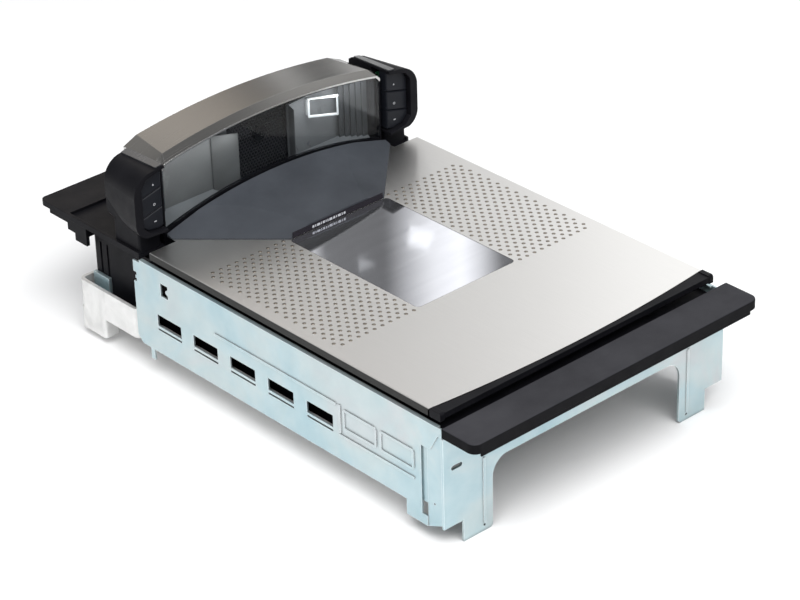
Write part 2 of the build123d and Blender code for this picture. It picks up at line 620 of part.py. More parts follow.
def hood_section(station, inset, room=0.0):
    """Hood section in (x, z) at one station, shrunk by inset; room is its half width below the skirt."""
    _, half, end_height, middle_height, eave_half, eave_height = station
    shoulder, tip = half - inset, eave_half - inset
    top, eave = end_height - inset, eave_height - inset
    arc = ThreePointArc((shoulder, top), (0, middle_height - inset), (-shoulder, top))
    left = [(-shoulder, top), (-tip, eave), (-tip, HOOD_BASE)]
    if room:
        left += [(-room, HOOD_BASE), (-room, DECK_TOP - 1)]
    right = [(-x, z) for x, z in reversed(left)]
    return make_face([arc, *Polyline(*left, *right).edges()])


def beyond(station, other, extra):
    """The hood section that lies ahead of a station by extra, in line with the other station."""
    share = extra / (other[0] - station[0])
    return tuple(near - (far - near) * share for near, far in zip(station, other))


def hood_solid(inset, front_station, room=0.0):
    """A hood-shaped block: the lip from its front up to the crease, then the top back to the rear edge."""
    stand = Rot(90, 0, 0)
    front, crease, rear = [Pos(0, station[0], 0) * stand * hood_section(station, inset, room)
                           for station in (front_station, HOOD_CREASE, HOOD_REAR)]
    return loft([crease, front], ruled=True) + loft([rear, crease], ruled=True)


def under_hood():
    """The room under the hood, which the glass, its surround and the tower shell stay inside."""
    return hood_solid(HOOD_SHEET + HOOD_GAP, beyond(HOOD_LIP, HOOD_CREASE, 1.0), room=HALF_TOWER + 5)


def tower_hood():
    """Brushed stainless hood: arched top, bevelled front lip and end facets, turned-down back."""
    hollow = hood_solid(HOOD_SHEET, beyond(HOOD_LIP, HOOD_CREASE, 1.0))
    hollow &= block(-HALF_FRAME, HALF_FRAME, 0, HOOD_BACK - HOOD_SHEET, 0, 2 * PLATTER_TOP)
    hood = hood_solid(0.0, HOOD_LIP) - hollow
    return hood - block(-HALF_FRAME, HALF_FRAME, GLASS_FRONT - 0.1, BACK, 100, HOOD_SKIRT)


def centre_baffle():
    """Dark pierced panel in the middle of the tower."""
    panel = block(-28.5, 28.5, 149.0, 151.0, DECK_TOP + TOWER_WALL, 176.5)
    return panel - along(0, 148, 152, 152.0, 7.0)


def tower_imager():
    """Camera module behind the tower's centre panel, its lens in the panel's hole."""
    body = block(-16, 16, 151.4, TOWER_BACK - TOWER_WALL - 0.1, 138, 166)
    return body + along(0, 146.5, 152, 152.0, 6.5)


def tower_mirror():
    """Right-hand tower mirror, turned slightly towards the middle."""
    return Pos(69.5, 152.5, 132.5) * Rot(0, 0, 4) * Box(76, 2.0, 65)


def mirror_frame():
    """White moulded frame in the right-hand chamber, turned towards the left front."""
    half_width, half_height, rim = 12.5, 8.8, 1.4
    ring = block(-half_width, half_width, -1, 1, -half_height, half_height)
    ring -= block(-half_width + rim, half_width - rim, -2, 2, -half_height + rim, half_height - rim)
    ring = Pos(62.6, 141.0, 156.0) * Rot(0, 0, -32) * ring
    # stay that reaches back to the mirror
    return ring + block(51.4, 53.2, 146.6, 150.0, 149.0, 163.0)


def light_board():
    """Strip of lamps on the tower's floor, behind the window."""
    floor = DECK_TOP + TOWER_WALL
    board = block(-104, 104, 134.5, 143.5, floor, floor + 1.6)
    for x in (-90, -60, -30, 0, 30, 60, 90):
        board += block(x - 2.5, x + 2.5, 136.5, 141.5, floor + 1.5, floor + 3.4)
    return board


# ---------------------------------------------------------------- end caps and buttons

POCKET_OUTER = 139.5
POCKET_BACK = 142.6
ROW_SLOPE = -0.26
ROW_TOP = 172.5
ROW_HEIGHT = 17.0


def cap_section(y, outer, top):
    """Right-hand cap outline at one station: flat lower lip, small round below, large round above."""
    low = CAP_BOTTOM
    outline = make_face([
        Line((CAP_INNER, low), (outer - 10.0, low + 1.5)),
        ThreePointArc((outer - 10.0, low + 1.5), (outer - 2.5, low + 7.0), (outer, low + 14.5)),
        Line((outer, low + 14.5), (outer, top - 19.0)),
        ThreePointArc((outer, top - 19.0), (outer - 4.7, top - 8.0), (outer - 17.0, top - 1.6)),
        Line((outer - 17.0, top - 1.6), (CAP_INNER, top)),
        Line((CAP_INNER, top), (CAP_INNER, low)),
    ])
    return Pos(0, y, 0) * Rot(90, 0, 0) * outline


def cap_body():
    """The cap's outside: it tapers towards the back and has a bevelled rear edge."""
    front, rear, back = [cap_section(*station) for station in CAP_SECTIONS]
    return loft([rear, front], ruled=True) + loft([back, rear], ruled=True)


def pocket_face(grow):
    """Outline in (x, z) of the cap's button pocket; it is open towards the tower."""
    return Polygon((CAP_INNER - 1, 119.4 - grow), (133.0, 121.6 - grow), (POCKET_OUTER + grow, 128.0),
                   (POCKET_OUTER + grow, 161.5), (134.5, 168.6 + grow), (CAP_INNER - 1, 173.2 + grow),
                   align=None)


def end_cap():
    """Right-hand end cap: hollow moulding on a neck, with the button pocket in its front."""
    cap = cap_body()
    # the outer wall's lower edge rises towards the back
    rising = [(CAP_FRONT - 1, 110.0), (CAP_BACK + 1, 110.0), (CAP_BACK + 1, 144.0), (CAP_FRONT - 1, 116.5)]
    cap -= side_prism(rising, POCKET_OUTER + 0.1, CAP_OUTER + 1)
    cap += rounded_block(118.5, 139.6, 128.0, 160.0, TRAY_FLOOR, 124.0, 2.0)
    cap -= front_prism(pocket_face(0.0), CAP_FRONT - 1, POCKET_BACK)
    cap -= block(121.0, 137.0, 146.0, 157.5, TRAY_FLOOR - 1, 166.0)
    return cap


def read_light():
    """Right-hand good-read lamp strip on the cap's top, next to the hood."""
    skin = Pos(0, 0, 1.2) * cap_body() - cap_body()
    return skin & rounded_block(117.2, 124.0, CAP_FRONT + 1.5, CAP_REAR - 1, 165.0, 180.0, 1.5)


def button_rows():
    """The three rows of the right-hand column as (name, upper height at the inner edge)."""
    return [("upper", ROW_TOP), ("middle", ROW_TOP - ROW_HEIGHT), ("lower", ROW_TOP - 2 * ROW_HEIGHT)]


def button(top):
    """One right-hand key: a sloped cap with a stem behind it."""
    x0, x1 = CAP_INNER + 0.6, POCKET_OUTER - BUTTON_GAP
    rise = ROW_SLOPE * (x1 - x0)
    bottom = top - ROW_HEIGHT + BUTTON_GAP
    cell = Polygon((x0, bottom), (x1, bottom + rise), (x1, top + rise), (x0, top), align=None)
    shape = front_prism(cell, BUTTON_FACE, 133.0) & front_prism(pocket_face(-BUTTON_GAP), BUTTON_FACE, 133.0)
    face_edges = [edge for edge in shape.edges() if abs(edge.center().Y - BUTTON_FACE) < 0.01]
    shape = chamfer(face_edges, 0.8)
    middle = top - ROW_HEIGHT / 2 + rise / 2
    return shape + along(127.0, 132.5, 138.0, middle, 2.6)


def button_board():
    """Right-hand key board with a dome switch behind each key."""
    board = block(119.0, 134.0, POCKET_BACK - 1.6, POCKET_BACK, 124.0, 166.0)
    rise = ROW_SLOPE * (POCKET_OUTER - CAP_INNER)
    for _, top in button_rows():
        board += along(127.0, 139.4, POCKET_BACK - 1, top - ROW_HEIGHT / 2 + rise / 2, 2.2)
    return board


# ---------------------------------------------------------------- seals, glass and fasteners


def glass_gasket():
    """Foam gasket between the deck and the fixed lower glass."""
    z0, z1 = DECK_TOP, DECK_TOP + 0.8
    ring = rounded_block(-WINDOW_HALF - 6, WINDOW_HALF + 6, WINDOW_FRONT - 6, WINDOW_BACK + 6, z0, z1, 5.0)
    return ring - rounded_block(-WINDOW_HALF, WINDOW_HALF, WINDOW_FRONT, WINDOW_BACK, z0 - 1, z1 + 1, 4.0)


def horizontal_glass():
    """Fixed lower glass that seals the tub under the platter's window."""
    return rounded_block(-WINDOW_HALF - 6, WINDOW_HALF + 6, WINDOW_FRONT - 6, WINDOW_BACK + 6,
                         DECK_TOP + 0.8, DECK_TOP + 2.8, 5.0)


def deck_screws():
    """Pan-head screws round the deck."""
    places = [(x, y) for x in (-127, 127) for y in (-150, -60, 30, 112)]
    heads = []
    for x, y in places:
        head = fillet(upright(x, y, DECK_TOP, DECK_TOP + 2.2, 3.4).edges().group_by(Axis.Z)[-1], 1.0)
        heads.append(head - block(x - 2, x + 2, y - 0.5, y + 0.5, DECK_TOP + 1.2, DECK_TOP + 3))
    return group(heads)


# ---------------------------------------------------------------- write every node

both_sides = {
    "side_panel": side_panel(),
    "end_cap": end_cap(),
    "read_light": read_light(),
    "button_board": button_board(),
    "lift_bar_end": lift_bar_end(),
    "tower_mirror": tower_mirror(),
    "lower_mirror_side": tilted_mirror(120, 44, 50, 96, -25, 62, turn=90),
}
for row_name, row_top in button_rows():
    both_sides["button_" + row_name] = button(row_top)

nodes = {
    "front_bracket": front_bracket(),
    "ledge_cover": ledge_cover(),
    "front_gap_seal": front_gap_seal(),
    "chassis_casting": chassis_casting(),
    "lower_housing": lower_housing(),
    "optics_deck": optics_deck(),
    "rear_tray": rear_tray(),
    "connector_panel": connector_panel(),
    "port_sockets": port_sockets(),
    "ground_bracket": ground_bracket(),
    "lower_mirror_front": tilted_mirror(96, 40, 48, 0, -92, 56),
    "lower_mirror_rear": tilted_mirror(96, 40, -48, 0, 60, 56),
    "main_board": main_board(),
    "shield_can": shield_can(),
    "speaker": speaker(),
    "lower_imager": lower_imager(),
    "load_cell_block": load_cell_block(),
    "load_cell": load_cell(),
    "weigh_spider": weigh_spider(),
    "platter_pads": platter_pads(),
    "overload_stops": overload_stops(),
    "platter_plate": platter_plate(),
    "window_frame": window_frame(),
    "window_glass": window_glass(),
    "riser_panel": riser_panel(),
    "riser_band": riser_band(),
    "lift_bar": lift_bar(),
    "lift_bar_pins": lift_bar_pins(),
    "tower_glass": tower_glass(),
    "tower_bezel": tower_bezel(),
    "tower_housing": tower_housing(),
    "tower_hood": tower_hood(),
    "centre_baffle": centre_baffle(),
    "tower_imager": tower_imager(),
    "mirror_frame": mirror_frame(),
    "light_board": light_board(),
    "glass_gasket": glass_gasket(),
    "horizontal_glass": horizontal_glass(),
    "deck_screws": deck_screws(),
}
for base_name, right_piece in both_sides.items():
    nodes[base_name + "_right"] = right_piece
    nodes[base_name + "_left"] = mirrored(right_piece)

os.makedirs("parts", exist_ok=True)
for node_name, shape in nodes.items():
    export_step(shape, "parts/" + node_name + ".step")
print(len(nodes), "nodes")
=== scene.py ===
import json
import math

import bmesh
import bpy
from mathutils import Matrix, Vector


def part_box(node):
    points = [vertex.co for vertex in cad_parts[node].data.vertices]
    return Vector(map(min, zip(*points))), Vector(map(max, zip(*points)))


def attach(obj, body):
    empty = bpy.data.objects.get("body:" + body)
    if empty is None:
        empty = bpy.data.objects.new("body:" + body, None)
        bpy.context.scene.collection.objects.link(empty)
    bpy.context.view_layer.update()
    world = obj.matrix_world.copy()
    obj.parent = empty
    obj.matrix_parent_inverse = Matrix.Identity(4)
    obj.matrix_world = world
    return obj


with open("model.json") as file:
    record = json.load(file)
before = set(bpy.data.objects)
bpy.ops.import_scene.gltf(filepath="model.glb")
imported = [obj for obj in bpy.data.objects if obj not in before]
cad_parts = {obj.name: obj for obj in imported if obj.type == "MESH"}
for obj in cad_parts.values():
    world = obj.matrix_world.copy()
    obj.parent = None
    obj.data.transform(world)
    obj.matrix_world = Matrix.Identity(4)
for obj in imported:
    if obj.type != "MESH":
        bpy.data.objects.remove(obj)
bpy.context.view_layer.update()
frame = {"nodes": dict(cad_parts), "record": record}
NODES = frame["nodes"]
MM = 0.001

# ---------------------------------------------------------------- camera

CAMERA_PLACE = Vector((-1.2925, -1.4797, 1.1874))
CAMERA_AZIMUTH = math.radians(41.47)
CAMERA_ELEVATION = math.radians(29.91)
CAMERA_ROLL = math.radians(-1.66)
CAMERA_LENS = 130.06


def make_camera():
    """Camera at the viewing angle: azimuth from +Y towards +X, looking down by the elevation."""
    sin_a, cos_a = math.sin(CAMERA_AZIMUTH), math.cos(CAMERA_AZIMUTH)
    sin_e, cos_e = math.sin(CAMERA_ELEVATION), math.cos(CAMERA_ELEVATION)
    forward = Vector((sin_a * cos_e, cos_a * cos_e, -sin_e))
    level = Vector((cos_a, -sin_a, 0))
    upward = level.cross(forward)
    right = level * math.cos(CAMERA_ROLL) + upward * math.sin(CAMERA_ROLL)
    upward = right.cross(forward)
    data = bpy.data.cameras.new("camera")
    data.lens = CAMERA_LENS
    data.sensor_width = 36.0
    data.clip_end = 20.0
    camera = bpy.data.objects.new("camera", data)
    bpy.context.scene.collection.objects.link(camera)
    turn = Matrix((right, upward, -forward)).transposed().to_4x4()
    camera.matrix_world = Matrix.Translation(CAMERA_PLACE) @ turn
    bpy.context.scene.camera = camera


make_camera()

# ---------------------------------------------------------------- procedural materials


class Look:
    """One procedural material: a Principled shader and a few helpers that chain texture nodes to it."""

    def __init__(self, name, **values):
        self.material = bpy.data.materials.new(name)
        self.material.use_nodes = True
        self.tree = self.material.node_tree
        self.shader = self.tree.nodes["Principled BSDF"]
        self.normal = None
        for socket, value in values.items():
            self.shader.inputs[socket.replace("_", " ")].default_value = value
        self.place = self.tree.nodes.new("ShaderNodeTexCoord").outputs["Object"]

    def node(self, kind, **values):
        """A new node; each value goes to the node's own setting of that name, or else to its socket."""
        made = self.tree.nodes.new("ShaderNode" + kind)
        for key, value in values.items():
            if hasattr(made, key):
                setattr(made, key, value)
            else:
                made.inputs[key.replace("_", " ")].default_value = value
        return made

    def link(self, output, target):
        self.tree.links.new(output, target)

    def noise(self, scale, stretch=(1, 1, 1), detail=3.0, roughness=0.55, distortion=0.0):
        """Noise in frame metres; stretch multiplies the scale along each axis."""
        mapping = self.node("Mapping")
        mapping.inputs["Scale"].default_value = stretch
        self.link(self.place, mapping.inputs["Vector"])
        texture = self.node("TexNoise", Scale=scale, Detail=detail, Roughness=roughness,
                            Distortion=distortion)
        self.link(mapping.outputs[0], texture.inputs["Vector"])
        return texture.outputs["Fac"]

    def ramp(self, source, stops):
        """Colour ramp with (position, colour) stops."""
        ramp = self.node("ValToRGB")
        elements = ramp.color_ramp.elements
        while len(elements) < len(stops):
            elements.new(0.5)
        for element, (position, colour) in zip(elements, stops):
            element.position = position
            element.color = (*colour, 1.0)
        self.link(source, ramp.inputs["Fac"])
        return ramp.outputs["Color"]

    def spread(self, source, low, high, source_low=0.3, source_high=0.7):
        """A number between low and high that follows the source; most noise lies between 0.3 and 0.7."""
        spread = self.node("MapRange")
        spread.inputs["From Min"].default_value = source_low
        spread.inputs["From Max"].default_value = source_high
        spread.inputs["To Min"].default_value = low
        spread.inputs["To Max"].default_value = high
        self.link(source, spread.inputs["Value"])
        return spread.outputs["Result"]

    def blend(self, factor, first, second, kind="MIX"):
        """Mix of two colour outputs, or of an output and a plain colour."""
        mix = self.node("MixRGB", blend_type=kind)
        for socket, value in (("Color1", first), ("Color2", second)):
            if isinstance(value, tuple):
                mix.inputs[socket].default_value = (*value, 1.0)
            else:
                self.link(value, mix.inputs[socket])
        if isinstance(factor, float):
            mix.inputs["Fac"].default_value = factor
        else:
            self.link(factor, mix.inputs["Fac"])
        return mix.outputs["Color"]

    def soft_edges(self, radius):
        """Rounds the shading of sharp edges, as a broken edge does."""
        bevel = self.node("Bevel", samples=4, Radius=radius)
        if self.normal is not None:
            self.link(self.normal, bevel.inputs["Normal"])
        self.normal = bevel.outputs["Normal"]
        self.link(self.normal, self.shader.inputs["Normal"])

    def bump(self, source, distance, strength):
        """Relief that follows the source, on top of what the normal already has."""
        bump = self.node("Bump", Distance=distance, Strength=strength)
        self.link(source, bump.inputs["Height"])
        if self.normal is not None:
            self.link(self.normal, bump.inputs["Normal"])
        self.normal = bump.outputs["Normal"]
        self.link(self.normal, self.shader.inputs["Normal"])

    def painted_edge_light(self, colour, radius, edge_painted_light):
        """Blends another colour along sharp edges, where the surface normal turns within the radius:
        painted light, a highlight where the colour is lighter and shade where it is darker.
        """
        rounded = self.node("Bevel", samples=4, Radius=radius)
        flat = self.node("NewGeometry")
        turn = self.node("VectorMath", operation="DOT_PRODUCT")
        self.link(rounded.outputs["Normal"], turn.inputs[0])
        self.link(flat.outputs["Normal"], turn.inputs[1])
        return self.blend(self.spread(turn.outputs["Value"], 0.8, 0.0, 0.90, 0.995), colour, edge_painted_light)

    def painted_crevice_shade(self, colour, distance, strength):
        """Painted shade: darkens the colour where other surfaces stand close."""
        shade = self.node("AmbientOcclusion", samples=12, Distance=distance)
        lifted = self.spread(shade.outputs["AO"], 1.0 - strength, 1.0, 0.35, 0.95)
        return self.blend(1.0, colour, lifted, "MULTIPLY")

    def paint_upright_faces(self, colour, upright_painted_light):
        """Paints light on upright faces: another colour there, darker for painted shade and lighter for a
        painted highlight.
        """
        facing = self.node("SeparateXYZ")
        self.link(self.node("NewGeometry").outputs["Normal"], facing.inputs[0])
        return self.blend(self.spread(facing.outputs["Z"], 1.0, 0.0, 0.35, 0.75), colour, upright_painted_light)

    def colour(self, output):
        self.link(output, self.shader.inputs["Base Color"])

    def rough(self, output):
        self.link(output, self.shader.inputs["Roughness"])


# how much lighter handled plastic is than fresh plastic: a factor, and a share of white
WORN_PLASTIC_GAIN, WORN_PLASTIC_LIFT = 1.35, 0.004


def plated_steel():
    """Zinc-plated sheet: pale blue-green with faint warm and violet clouds, satin gloss."""
    look = Look("plated_steel", Metallic=0.7, Specular_IOR_Level=0.6)
    clouds = look.noise(11, detail=4.0, roughness=0.6, distortion=1.0)
    tint = look.ramp(clouds, [(0.26, (0.30, 0.46, 0.52)), (0.46, (0.40, 0.53, 0.57)),
                              (0.60, (0.47, 0.55, 0.56)), (0.78, (0.54, 0.52, 0.53))])
    patches = look.ramp(look.noise(42, detail=5.0),
                        [(0.35, (0.38, 0.49, 0.52)), (0.65, (0.54, 0.62, 0.63))])
    # painted shade: the sheet darkens in its creases and beside its beads
    sheet = look.painted_crevice_shade(look.blend(0.30, tint, patches), 0.003, 0.65)
    # painted highlight: a pale colour along the sheet's sharp edges and bead edges
    look.colour(look.painted_edge_light(sheet, 0.0007, (0.92, 0.96, 0.97)))
    look.rough(look.spread(look.noise(45, detail=5.0), 0.30, 0.42))
    look.soft_edges(0.0005)
    look.bump(look.noise(700, detail=2.0), 0.00001, 0.3)
    look.bump(look.noise(18, detail=2.0), 0.0004, 0.22)
    return look.material


def stainless(name, base, brush, low, high, contrast, edge=(0.86, 0.86, 0.85), upright_painted_light=None):
    """Brushed stainless steel, its roughness between low and high.

    brush is the stretch of the grain along each axis, and contrast how far the grain strays from the base.
    edge is a colour painted along sharp edges: a painted highlight where lighter than the base, painted
    shade where darker. The last argument is a colour painted on upright faces: painted shade where darker,
    a painted highlight where lighter.
    """
    look = Look(name, Metallic=1.0)
    grain = look.noise(1.0, stretch=brush, detail=6.0, roughness=0.7)
    cloud = look.noise(9, detail=3.0)
    dark = tuple(c * (1.0 - contrast) for c in base)
    bright = tuple(min(1.0, c * (1.0 + contrast)) for c in base)
    brushed = look.ramp(grain, [(0.30, dark), (0.70, bright)])
    sheet = look.blend(look.spread(cloud, 0.1, 0.5), brushed, base)
    # painted light along sharp edges: the pale default colour is a painted highlight
    sheet = look.painted_edge_light(sheet, 0.0005, edge)
    look.colour(sheet if upright_painted_light is None else look.paint_upright_faces(sheet, upright_painted_light))
    look.rough(look.spread(grain, low, high))
    look.soft_edges(0.0004)
    look.bump(grain, 0.00001, 0.25)
    return look.material


def plastic(name, base, low, high, shine=0.25, grain_depth=0.00004, upright_painted_light=None):
    """Moulded plastic with a fine spark-eroded grain, its roughness between low and high.

    The last argument is a colour painted on upright faces: painted shade, darker than the top.
    """
    look = Look(name, Specular_IOR_Level=shine)
    cloud = look.noise(24, detail=5.0)
    light = tuple(min(1.0, c * WORN_PLASTIC_GAIN + WORN_PLASTIC_LIFT) for c in base)
    skin = look.ramp(cloud, [(0.30, base), (0.75, light)])
    look.colour(skin if upright_painted_light is None else look.paint_upright_faces(skin, upright_painted_light))
    look.rough(look.spread(look.noise(70, detail=6.0), low, high))
    look.soft_edges(0.0004)
    look.bump(look.noise(2600, detail=2.0), grain_depth, 0.6)
    return look.material


def cast_aluminium():
    """As-cast aluminium: light grey, pebbled skin with faint flow marks."""
    look = Look("cast_aluminium", Metallic=0.55, Specular_IOR_Level=0.5)
    cloud = look.noise(35, detail=6.0, distortion=0.6)
    look.colour(look.ramp(cloud, [(0.30, (0.62, 0.62, 0.61)), (0.55, (0.76, 0.76, 0.75)),
                                  (0.78, (0.86, 0.86, 0.85))]))
    look.rough(look.spread(look.noise(160, detail=4.0), 0.42, 0.62))
    look.soft_edges(0.0010)
    look.bump(look.noise(750, detail=4.0), 0.00012, 0.7)
    look.bump(look.noise(60, detail=2.0), 0.0004, 0.25)
    return look.material


def clear_glass(name, tint):
    """Flat window glass: see-through along the normal, mirror-like at a slant."""
    look = Look(name)
    look.tree.nodes.remove(look.shader)
    through = look.node("BsdfTransparent")
    smudge = look.noise(30, detail=5.0)
    smudged = tuple(c * 0.95 for c in tint)
    look.link(look.ramp(smudge, [(0.3, tint), (0.8, smudged)]), through.inputs["Color"])
    gloss = look.node("BsdfGlossy")
    gloss.inputs["Color"].default_value = (1, 1, 1, 1)
    look.link(look.spread(smudge, 0.015, 0.05), gloss.inputs["Roughness"])
    slant = look.node("LayerWeight", Blend=0.5)
    steep = look.node("Math", operation="POWER")
    look.link(slant.outputs["Facing"], steep.inputs[0])
    steep.inputs[1].default_value = 4.0
    mix = look.node("MixShader")
    look.link(look.spread(steep.outputs[0], 0.025, 0.95, 0.0, 1.0), mix.inputs[0])
    look.link(through.outputs[0], mix.inputs[1])
    look.link(gloss.outputs[0], mix.inputs[2])
    look.link(mix.outputs[0], look.tree.nodes["Material Output"].inputs["Surface"])
    return look.material


def scan_glass():
    """Hard-coated platter window: dark and mirror-like, with the faint haze of sliding wear."""
    look = Look("scan_glass", Metallic=0.95, Specular_IOR_Level=0.8)
    haze = look.noise(1.0, stretch=(12, 90, 1), detail=4.0)
    look.colour(look.ramp(haze, [(0.30, (0.60, 0.61, 0.65)), (0.72, (0.65, 0.66, 0.70))]))
    look.rough(look.spread(haze, 0.03, 0.06))
    look.bump(look.noise(1.0, stretch=(30, 200, 1), detail=2.0), 0.000002, 0.1)
    return look.material


def mirror_look():
    """Front-silvered mirror with faint dust."""
    look = Look("mirror_look", Metallic=1.0)
    dust = look.noise(120, detail=5.0)
    look.colour(look.ramp(dust, [(0.35, (0.74, 0.75, 0.76)), (0.75, (0.82, 0.83, 0.84))]))
    look.rough(look.spread(dust, 0.05, 0.12))
    return look.material


def lamp_lens():
    """Milky smoked lens of the good-read lamp."""
    look = Look("lamp_lens", Specular_IOR_Level=0.35, Coat_Weight=0.2, Coat_Roughness=0.2)
    cloud = look.noise(90, detail=4.0)
    look.colour(look.ramp(cloud, [(0.3, (0.030, 0.031, 0.034)), (0.75, (0.05, 0.052, 0.056))]))
    look.rough(look.spread(cloud, 0.18, 0.3))
    look.soft_edges(0.0004)
    return look.material


def circuit_board():
    """Green lacquered board with a weave of copper tracks under the lacquer."""
    look = Look("circuit_board", Coat_Weight=0.5, Coat_Roughness=0.15)
    brick = look.node("TexBrick", Scale=160, Mortar_Size=0.06)
    brick.inputs["Color1"].default_value = (0.015, 0.10, 0.05, 1)
    brick.inputs["Color2"].default_value = (0.02, 0.13, 0.06, 1)
    brick.inputs["Mortar"].default_value = (0.05, 0.22, 0.10, 1)
    look.link(look.place, brick.inputs["Vector"])
    look.colour(brick.outputs["Color"])
    look.rough(look.spread(look.noise(200), 0.3, 0.5))
    return look.material


def screw_steel():
    """Bright turned steel."""
    look = Look("screw_steel", Metallic=1.0)
    ring = look.noise(900, stretch=(1, 1, 0.2), detail=4.0)
    look.colour(look.ramp(ring, [(0.3, (0.46, 0.46, 0.47)), (0.7, (0.66, 0.66, 0.67))]))
    look.rough(look.spread(ring, 0.2, 0.38))
    look.soft_edges(0.0003)
    return look.material


def rubber():
    """Matt black rubber with bloom."""
    look = Look("rubber", Specular_IOR_Level=0.3)
    bloom = look.noise(140, detail=6.0)
    look.colour(look.ramp(bloom, [(0.35, (0.012, 0.012, 0.012)), (0.8, (0.04, 0.04, 0.042))]))
    look.rough(look.spread(bloom, 0.7, 0.9))
    look.bump(look.noise(1500, detail=3.0), 0.00005, 0.6)
    return look.material


LOOKS = {
    "plated_steel": plated_steel(),
    "stainless": stainless("stainless", (0.60, 0.59, 0.57), (1600, 24, 1600), 0.20, 0.27, 0.04),
    "cast_aluminium": cast_aluminium(),
    "black_plastic": plastic("black_plastic", (0.004, 0.004, 0.0055), 0.38, 0.50, shine=0.06),
    # painted shade: the ledge's upright faces are near black against its charcoal top
    "charcoal_plastic": plastic("charcoal_plastic", (0.027, 0.027, 0.031), 0.50, 0.62, shine=0.06,
                                upright_painted_light=(0.004, 0.004, 0.005)),
    "slate_plastic": plastic("slate_plastic", (0.036, 0.040, 0.047), 0.52, 0.66, shine=0.12),
    "gloss_black": plastic("gloss_black", (0.010, 0.008, 0.012), 0.14, 0.25, shine=0.35,
                           grain_depth=0.00001),
    "key_plastic": plastic("key_plastic", (0.006, 0.007, 0.010), 0.34, 0.46, shine=0.14),
    "white_plastic": plastic("white_plastic", (0.78, 0.79, 0.79), 0.35, 0.5),
    "lamp_lens": lamp_lens(),
    "scan_glass": scan_glass(),
    "clear_glass": clear_glass("clear_glass", (0.90, 0.92, 0.93)),
    "mirror": mirror_look(),
    "circuit_board": circuit_board(),
    "rubber": rubber(),
    "screw_steel": screw_steel(),
}
# painted shade: the platter's upright rim is near black
PLATTER_LOOK = stainless("stainless_platter", (0.70, 0.693, 0.68), (1600, 24, 1600), 0.30, 0.37, 0.04,
                         upright_painted_light=(0.03, 0.03, 0.029))
# the hood's steel is painted dark as painted shade, and its upright front lip pale as a painted highlight
HOOD_PAINTED_LIGHT_LOOK = stainless("stainless_hood_painted_light", (0.205, 0.201, 0.193), (9, 700, 60), 0.20, 0.28, 0.06,
                      upright_painted_light=(0.50, 0.50, 0.49))
# painted shade: the dimples are the platter's steel made dark, with a darker rim, so they read as dark dots
DIMPLE_SHADED_LOOK = stainless("stainless_dimple_painted_shade", (0.27, 0.245, 0.21), (900, 900, 900), 0.30, 0.40, 0.06,
                        edge=(0.22, 0.195, 0.16))
# painted reflection: the tower's mirrors are matt grey, each side its own grey
MIRROR_PAINTED_REFLECTION = {
    "tower_mirror_left": plastic("mirror_left_painted_reflection", (0.145, 0.145, 0.143), 0.3, 0.45, shine=0.4),
    "tower_mirror_right": plastic("mirror_right_painted_reflection", (0.17, 0.173, 0.177), 0.25, 0.4, shine=0.5),
}
CHAMBER_LIGHT = plastic("chamber_light", (0.09, 0.09, 0.089), 0.35, 0.5)
CHAMBER_GREY = plastic("chamber_grey", (0.12, 0.123, 0.127), 0.35, 0.5)
CHAMBER_DARK = plastic("chamber_dark", (0.05, 0.052, 0.055), 0.35, 0.5)
MESH_LOOK = plastic("mesh_black", (0.02, 0.02, 0.022), 0.35, 0.5)
MARK_LOOK = plastic("mark_grey", (0.42, 0.43, 0.45), 0.4, 0.55)


def dress_frame():
    """Gives each CAD node the look of its material slot, or its own look where it has one."""
    own_looks = {"tower_hood": HOOD_PAINTED_LIGHT_LOOK, "platter_plate": PLATTER_LOOK, **MIRROR_PAINTED_REFLECTION}
    for part in frame["record"]["subparts"]:
        node = NODES[part["node"]]
        look = own_looks.get(part["node"], LOOKS[part["material_slot"]])
        node.data.materials.clear()
        node.data.materials.append(look)


dress_frame()

# ---------------------------------------------------------------- mesh helpers


def finish_piece(name, mesh_data, look, body):
    """Links a bmesh as a piece that rides on a body."""
    mesh = bpy.data.meshes.new(name)
    bmesh.ops.recalc_face_normals(mesh_data, faces=mesh_data.faces)
    mesh_data.to_mesh(mesh)
    mesh_data.free()
    piece = bpy.data.objects.new(name, mesh)
    bpy.context.scene.collection.objects.link(piece)
    mesh.materials.append(look)
    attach(piece, body)
    return piece


def smooth(piece):
    for face in piece.data.polygons:
        face.use_smooth = True


def turns(count, start=0.0):
    """Angles spread evenly round a circle."""
    return [start + 2 * math.pi * k / count for k in range(count)]


def add_dome(bm, centre, radius, height, segments=12, rings=3):
    """A low dome on a flat face, closed below."""
    loops = []
    for ring in range(rings):
        angle = ring / rings * math.pi / 2
        r, z = radius * math.cos(angle), height * math.sin(angle)
        loops.append([bm.verts.new((centre[0] + r * math.cos(a), centre[1] + r * math.sin(a),
                                    centre[2] + z)) for a in turns(segments)])
    top = bm.verts.new((centre[0], centre[1], centre[2] + height))
    for low, high in zip(loops, loops[1:]):
        for k in range(segments):
            bm.faces.new((low[k], low[(k + 1) % segments], high[(k + 1) % segments], high[k]))
    for k in range(segments):
        bm.faces.new((loops[-1][k], loops[-1][(k + 1) % segments], top))
    bm.faces.new(loops[0])


def add_prism(bm, outline, push):
    """A prism from a closed outline of 3-D points, given thickness by the push vector."""
    low = [bm.verts.new(p) for p in outline]
    high = [bm.verts.new(Vector(p) + Vector(push)) for p in outline]
    bm.faces.new(low)
    bm.faces.new(high)
    count = len(outline)
    for k in range(count):
        bm.faces.new((low[k], low[(k + 1) % count], high[(k + 1) % count], high[k]))


